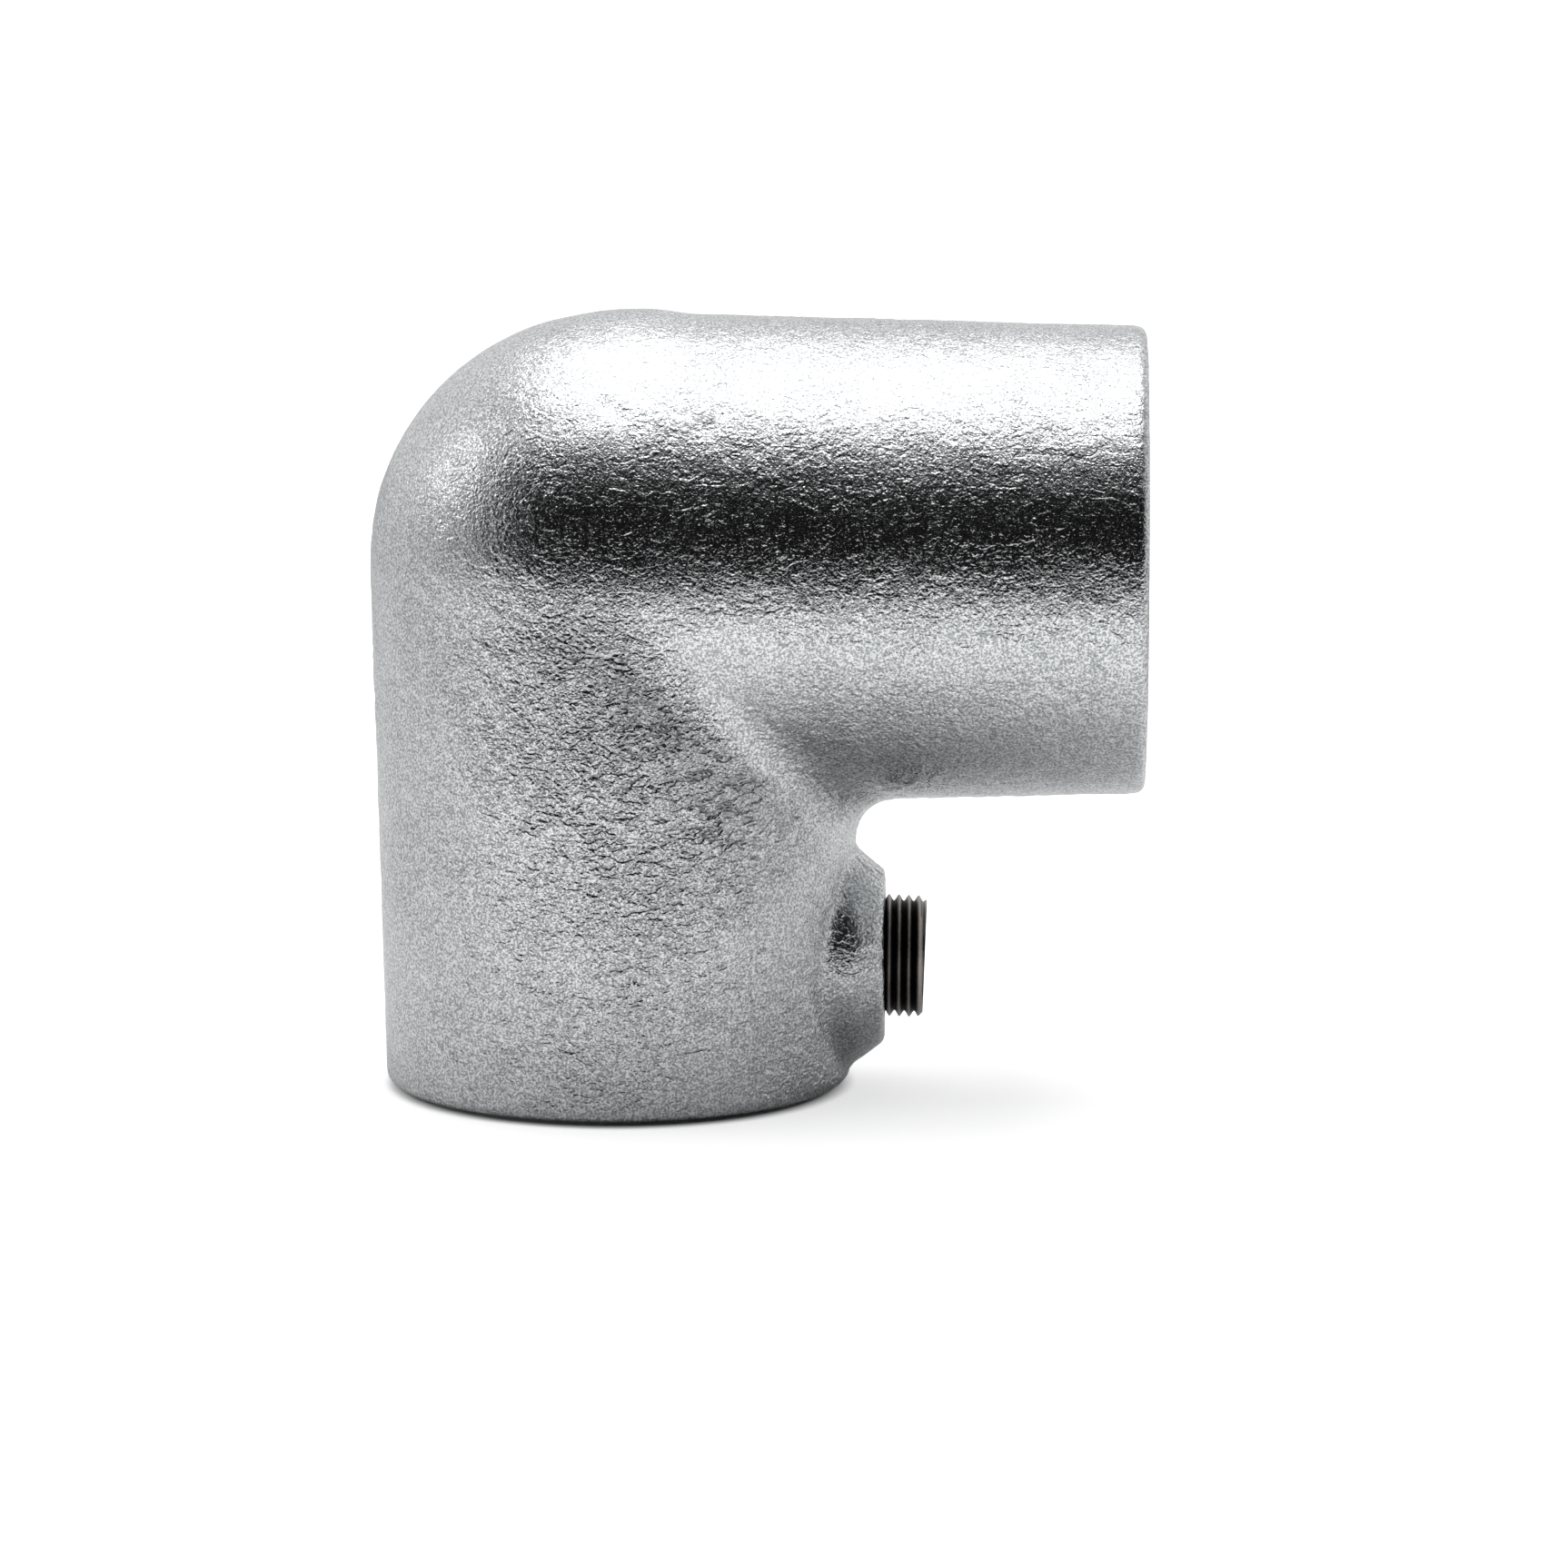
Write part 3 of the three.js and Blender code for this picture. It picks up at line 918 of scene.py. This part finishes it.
cut_iron, tree, shader, place = new_material("bare_cut_iron")
stain_values = {"Vector": place, "Size": 2.5 * MM, "Contrast": 1.6, "Seed": 13.0}
stain = use_group(tree, mottle_group, stain_values)["Mottle"]
plug(tree, shader.inputs["Base Color"], blend_colours(tree, stain, IRON_BARE, IRON_STAINED))
plug(tree, shader.inputs["Roughness"], rescale(tree, stain, 0, 1, 0.3, 0.5))
shader.inputs["Metallic"].default_value = 1
marks = use_group(
    tree,
    grain_group,
    {"Vector": place, "Coarse Size": 0.6 * MM, "Fine Size": 0.2 * MM, "Fine Share": 0.4, "Seed": 17.0},
)
bump = add(tree, "ShaderNodeBump", {"Height": marks["Height"], "Strength": 0.5, "Distance": 0.02 * MM})
plug(tree, shader.inputs["Normal"], bump.outputs[0])
print("bare_cut_iron:", len(tree.nodes), "nodes")

# %% [markdown]
# ## Make the casting and cut its threads
#
# The relief goes on first, because a tap cuts cleanly through a rough boss. The same threaded rod that makes
# a screw, a little larger and with no sockets, is the tap. A Boolean takes it out of the boss and leaves the
# thread's own material behind. The post's hole leans a little, as a loose screw does, about the middle of
# its boss's face.

# %% Relief and tapped holes
THREAD_CLEARANCE = 0.3 * MM
POST_LEAN = math.radians(2.1)
TAP_START = PASSAGE_RADIUS
TAP_OVERRUN = 4 * MM
TAP_SIDES = 72
CASTING_SHARP = math.radians(42)

casting.data = make_with_nodes(
    casting_mesh,
    relief,
    {
        "Lump Height": 0.2 * MM,
        "Lump Size": 7 * MM,
        "Pad Height": 0.13 * MM,
        "Pad Size": 2.8 * MM,
        "Seed": 1.0,
        "Finish": galvanised,
    },
    "elbow_casting",
)

post_turn = Matrix.Rotation(math.pi / 2, 4, "Y")
rail_turn = Matrix.Rotation(-math.pi / 2, 4, "X")
post_screw_axis = Vector((post_x, axis_y, rail_z - boss_along))
rail_screw_axis = Vector((post_x + boss_along, axis_y, rail_z))


def place_of_rod(on_rail, start):
    """Where a rod made along +Z goes: its own turn, and its start at this distance from the limb's axis."""
    if on_rail:
        return Matrix.Translation(rail_screw_axis) @ rail_turn @ Matrix.Translation((0, 0, start))
    to_face = Matrix.Translation((0, 0, boss_reach))
    lean = to_face @ Matrix.Rotation(POST_LEAN, 4, "Y") @ to_face.inverted()
    return Matrix.Translation(post_screw_axis) @ post_turn @ lean @ Matrix.Translation((0, 0, start))


turns_between = (screw_start - TAP_START) / THREAD_PITCH
tap_start = screw_start - round(turns_between) * THREAD_PITCH
tap_values = {
    "Length": boss_reach + TAP_OVERRUN - tap_start,
    "Crest Radius": screw_radius + THREAD_CLEARANCE,
    "Thread Depth": THREAD_DEPTH,
    "Pitch": THREAD_PITCH,
    "Point Radius": screw_radius + 2 * MM,
    "End Radius": screw_radius + 2 * MM,
    "Sockets": False,
    "Sides": TAP_SIDES,
    "Finish": cut_iron,
}
for on_rail in (False, True):
    tap_mesh = make_with_nodes(bpy.data.meshes.new("grid"), rod, tap_values, "tap")
    tap_mesh.transform(place_of_rod(on_rail, tap_start))
    tap = put_in_scene("tap", tap_mesh)
    cut = casting.modifiers.new("tapped_hole", "BOOLEAN")
    cut.object = tap
    cut.operation = "DIFFERENCE"
    cut.solver = "MANIFOLD"
    cut.material_mode = "TRANSFER"
    graph = bpy.context.evaluated_depsgraph_get()
    tapped = bpy.data.meshes.new_from_object(casting.evaluated_get(graph))
    casting.modifiers.clear()
    casting.data = tapped
    bpy.data.objects.remove(tap)
casting.data.name = "elbow_casting"
casting.data.shade_smooth()
casting.data.set_sharp_from_angle(angle=CASTING_SHARP)
casting.data.calc_loop_triangles()
print(f"elbow_casting: {len(casting.data.loop_triangles)} triangles")
print("its materials:", casting.data.materials.keys())

# %% [markdown]
# ## Make the set screws
#
# Both screws are the same part, so one set of values makes them. Each rod's mesh is turned and moved to its
# place, and its object stays at the origin. The value "crest_wear" is 1 on the crests and the end, and 0 at
# the thread's root.

# %% Set screws
SCREW_SIDES = 112
SCREW_SHARP = math.radians(38)
WORN_FROM = 0.55 * THREAD_DEPTH
WORN_OVER = 0.5 * THREAD_DEPTH
RUBBED_END = 0.66 * MM

screw_values = {
    "Length": screw_length,
    "Crest Radius": screw_radius,
    "Thread Depth": THREAD_DEPTH,
    "Pitch": THREAD_PITCH,
    "Point Radius": CUP_RADIUS + 0.4 * MM,
    "End Radius": screw_radius - THREAD_DEPTH + 0.1 * MM,
    "Key Flats": KEY_FLATS,
    "Key Depth": KEY_DEPTH,
    "Cup Radius": CUP_RADIUS,
    "Cup Depth": CUP_DEPTH,
    "Sockets": True,
    "Sides": SCREW_SIDES,
    "Finish": dark_steel,
}


def set_screw(name, on_rail):
    mesh = make_with_nodes(bpy.data.meshes.new("grid"), rod, screw_values, name)
    points = np.array([vertex.co for vertex in mesh.vertices])
    radial = np.hypot(points[:, 0], points[:, 1])
    wear = np.clip((radial - screw_radius + WORN_FROM) / WORN_OVER, 0, 1)
    at_end = (points[:, 2] > screw_length - RUBBED_END) & (radial > KEY_FLATS / 2)
    wear = np.where(at_end, 1, wear)
    crest_wear = mesh.attributes.new("crest_wear", "FLOAT", "POINT")
    crest_wear.data.foreach_set("value", wear.astype(np.float32))
    mesh.transform(place_of_rod(on_rail, screw_start))
    mesh.shade_smooth()
    mesh.set_sharp_from_angle(angle=SCREW_SHARP)
    piece = put_in_scene(name, mesh)
    mesh.calc_loop_triangles()
    print(f"{name}: {len(mesh.loop_triangles)} triangles")
    return piece


post_screw = set_screw("post_cup_screw", on_rail=False)
rail_screw = set_screw("rail_cup_screw", on_rail=True)

# %% [markdown]
# ## Studio
#
# A pale table on which the elbow stands, one large softbox above it, a small one to its left, and a room
# that is dark behind the camera and bright behind the object. The dark side is what gives bright metal its
# depth: it shows as the dark band along the rail. The camera itself sees a plain white room.

# %% Softboxes
def softbox(name, size_x, size_y, middle, aim, radiance):
    """A rectangular area light. Its power follows from how bright its face should look."""
    data = bpy.data.lights.new(name, "AREA")
    data.shape = "RECTANGLE"
    data.size = size_x
    data.size_y = size_y
    data.energy = radiance * math.pi * size_x * size_y
    light = put_in_scene(name, data)
    middle = Vector(middle)
    facing = (middle - Vector(aim)).to_track_quat("Z", "Y").to_matrix().to_4x4()
    light.matrix_world = Matrix.Translation(middle) @ facing
    light.visible_camera = False
    print(f"{name}: {data.energy:.2f} W")


softbox("overhead_softbox", 0.62, 0.65, (0.0, 0.115, 0.66), (0.0, 0.115, 0.0), 1.8)
softbox("left_softbox", 0.2, 0.2, (-0.53, 0.03, 0.37), (0, 0, 0.06), 1.9)

# %% Room
ROOM_DARK = 0.01
ROOM_SIDE = 0.52
ROOM_BACK = 1.0
DARK_UNTIL = -0.62
SIDE_FROM = -0.2

room = bpy.data.worlds.new("studio_room")
bpy.context.scene.world = room
room.use_nodes = True
tree = room.node_tree
tree.nodes.clear()
direction = add(tree, "ShaderNodeSeparateXYZ", {0: add(tree, "ShaderNodeTexCoord").outputs["Generated"]})
x, y, z = direction.outputs
flat = add(tree, "ShaderNodeCombineXYZ", {0: x, 1: y}).outputs[0]
level = add(tree, "ShaderNodeVectorMath", {0: flat}, operation="LENGTH").outputs["Value"]
away = calculate(tree, "DIVIDE", y, calculate(tree, "MAXIMUM", level, 0.001))
side = rescale(tree, away, DARK_UNTIL, SIDE_FROM, ROOM_DARK, ROOM_SIDE, "SMOOTHSTEP")
back = rescale(tree, away, 0.0, 0.8, 0.0, ROOM_BACK - ROOM_SIDE, "SMOOTHSTEP")
around = calculate(tree, "ADD", side, back)
top = rescale(tree, z, 0.7, 0.95, 0.0, 1.0, "SMOOTHSTEP")
lit = add(tree, "ShaderNodeMix", {"Factor": top, "A": around, "B": ROOM_SIDE}).outputs["Result"]
studio = add(tree, "ShaderNodeBackground", {"Strength": lit})
white = add(tree, "ShaderNodeBackground", {"Color": (1, 1, 1, 1), "Strength": 1.0})
seen = add(tree, "ShaderNodeLightPath").outputs["Is Camera Ray"]
mixed = add(tree, "ShaderNodeMixShader", {0: seen, 1: studio.outputs[0], 2: white.outputs[0]})
plug(tree, add(tree, "ShaderNodeOutputWorld").inputs["Surface"], mixed.outputs[0])
print("studio_room:", len(tree.nodes), "nodes")

# %% [markdown]
# ## Table
#
# The table is a sheet of white acrylic, lit from below, more in front of the elbow than elsewhere: that is
# what the lower half of the rail and the front of the post mirror. The camera sees it as a nearly white sheet
# with a soft shadow, partly real and partly painted by a weaker camera-seen glow near the elbow. The table
# lies a little below the rim, and the glow is switched off under the foot, which paints a thin dark gap under
# the rim. From underneath the sheet is clear, so the elbow can be looked at from below.

# %% Table
TABLE_FRONT = -0.36
TABLE_BACK = 2.0
TABLE_HALF_WIDTH = 0.9
TABLE_GAP = 0.6 * MM
SHADE_SHARE = 0.6
SHADE_NEAR = 0.08
SHADE_FAR = 0.5
UNDER_LIGHT_FRONT = 0.47
UNDER_LIGHT_BACK = 0.1
TABLE_CORNERS = [
    (-TABLE_HALF_WIDTH, TABLE_FRONT, -TABLE_GAP),
    (TABLE_HALF_WIDTH, TABLE_FRONT, -TABLE_GAP),
    (TABLE_HALF_WIDTH, TABLE_BACK, -TABLE_GAP),
    (-TABLE_HALF_WIDTH, TABLE_BACK, -TABLE_GAP),
]

table_mesh = bpy.data.meshes.new("pale_table")
table_mesh.from_pydata(TABLE_CORNERS, [], [(0, 1, 2, 3)])
table = put_in_scene("pale_table", table_mesh)

table_top, tree, shader, place = new_material("pale_table_top")
tree.nodes.remove(shader)
matt = add(tree, "ShaderNodeBsdfDiffuse", {"Color": (0.8, 0.8, 0.8, 1)})
bright = add(tree, "ShaderNodeBsdfDiffuse", {"Color": (0.9, 0.9, 0.9, 1)})
from_elbow = add(tree, "ShaderNodeVectorMath", {0: place}, operation="LENGTH").outputs["Value"]
# Painted shadow: the camera-seen glow is weaker near the elbow and off under the foot, which paints the dark
# gap under the rim.
glow_and_painted_shadow = rescale(tree, from_elbow, SHADE_NEAR, SHADE_FAR, SHADE_SHARE, 1.0, "SMOOTHSTEP")
foot = Vector((post_x, axis_y, -TABLE_GAP))
from_foot = add(tree, "ShaderNodeVectorMath", {0: place, 1: foot}, operation="DISTANCE").outputs["Value"]
outside_foot = rescale(tree, from_foot, MOUTH_RADIUS - 2 * MM, MOUTH_RADIUS + 1 * MM)
glow_and_painted_shadow = calculate(tree, "MULTIPLY", glow_and_painted_shadow, outside_foot)
glow = add(tree, "ShaderNodeEmission", {"Color": (1, 1, 1, 1), "Strength": glow_and_painted_shadow})
lifted = add(tree, "ShaderNodeAddShader", {0: bright.outputs[0], 1: glow.outputs[0]})
frontwards = add(tree, "ShaderNodeSeparateXYZ", {0: place}).outputs[1]
under_light = rescale(tree, frontwards, -0.13, -0.03, UNDER_LIGHT_FRONT, UNDER_LIGHT_BACK, "SMOOTHSTEP")
under_light = calculate(tree, "MULTIPLY", under_light, rescale(tree, from_elbow, 0.03, 0.1))
from_below = add(tree, "ShaderNodeEmission", {"Color": (1, 1, 1, 1), "Strength": under_light})
lit_matt = add(tree, "ShaderNodeAddShader", {0: matt.outputs[0], 1: from_below.outputs[0]})
seen = add(tree, "ShaderNodeLightPath").outputs["Is Camera Ray"]
mixed = add(tree, "ShaderNodeMixShader", {0: seen, 1: lit_matt.outputs[0], 2: lifted.outputs[0]})
underneath = add(tree, "ShaderNodeNewGeometry").outputs["Backfacing"]
clear = add(tree, "ShaderNodeBsdfTransparent")
two_sided = add(tree, "ShaderNodeMixShader", {0: underneath, 1: mixed.outputs[0], 2: clear.outputs[0]})
output = next(node for node in tree.nodes if node.type == "OUTPUT_MATERIAL")
plug(tree, output.inputs["Surface"], two_sided.outputs[0])
table_mesh.materials.append(table_top)
table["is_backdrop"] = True
bpy.context.scene.view_settings.view_transform = "Standard"
print("table from y", TABLE_FRONT, "to", TABLE_BACK)

# %% [markdown]
# ## Which CAD body each piece belongs to
#
# The casting stands for the CAD elbow, and each screw rides on its own sliding body.

# %% Bodies, replaced nodes and finishes
PIECES = [
    (casting, "elbow", "elbow_body", "galvanised_iron"),
    (post_screw, "post_screw", "post_set_screw", "dark_steel"),
    (rail_screw, "rail_screw", "rail_set_screw", "dark_steel"),
]
for piece, body, node, finish in PIECES:
    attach(piece, body)
    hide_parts(node)

# %% Print the visual model's box and the CAD box, and finish
visual_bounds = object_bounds()
boxes = {
    "cad": [list(corner) for corner in cad_bounds],
    "visual": [list(corner) for corner in visual_bounds],
}
for label, (low, high) in boxes.items():
    print(label, [round(value / MM, 2) for value in low], [round(value / MM, 2) for value in high])
